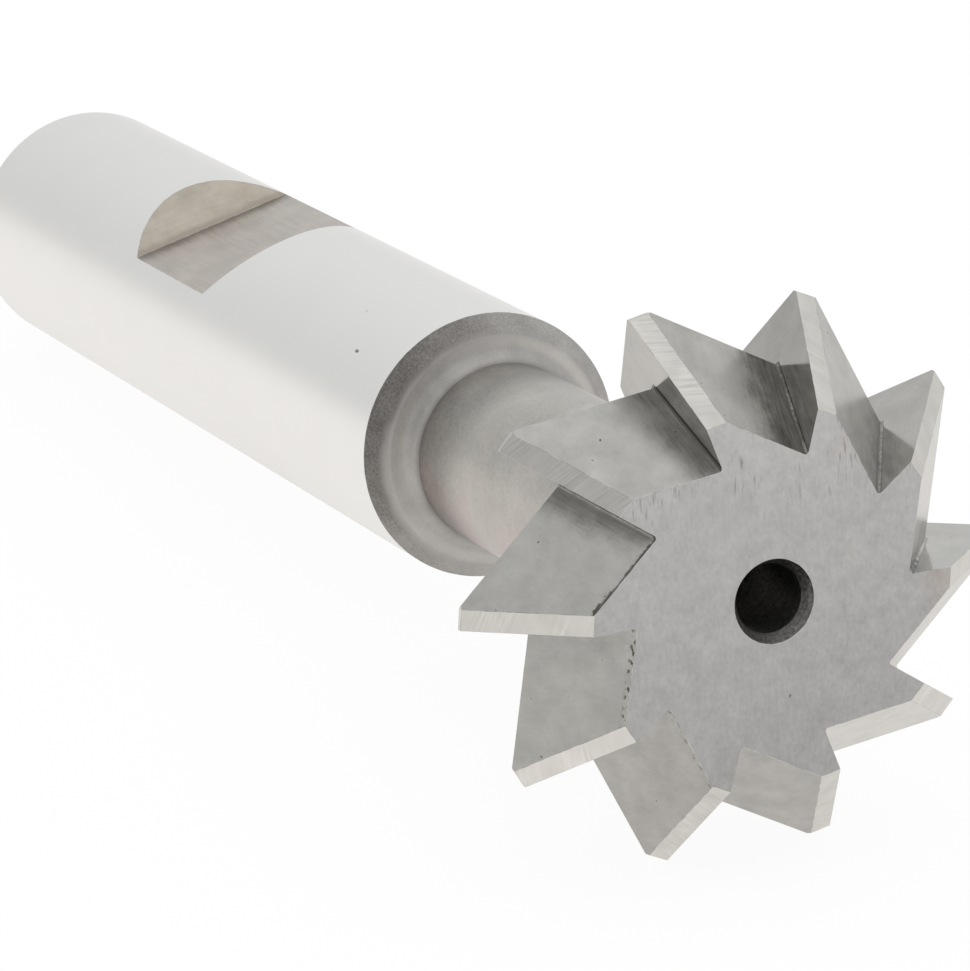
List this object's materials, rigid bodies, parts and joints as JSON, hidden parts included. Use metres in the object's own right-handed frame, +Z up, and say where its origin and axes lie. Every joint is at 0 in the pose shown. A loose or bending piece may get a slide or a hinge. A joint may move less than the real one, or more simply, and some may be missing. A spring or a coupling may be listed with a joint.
{
  "type": "double angle milling cutter",
  "caption": "Shank-type milling cutter with straight teeth ground to a ninety degree double angle, a reduced neck and a round shank with a set-screw flat.",
  "frame": {"origin": "bottom centre of the bounding box, on the surface that the cutter lies on", "axes": "+Z up; +X level, from the shank's end towards the toothed head, above which the tool's own axis rises by about four degrees; the cutter lies on one cutting edge, the next tooth's heel and its shank's end"},
  "size_m": [0.0662, 0.019, 0.0182],
  "materials": {
    "tool_steel": "ground bright on the shank, the flat, the front face and the lands, milled in the gashes, turned matt on the neck and the shoulder"
  },
  "bodies": {
    "root": {"cutter": "tool_steel"}
  },
  "joints": []
}
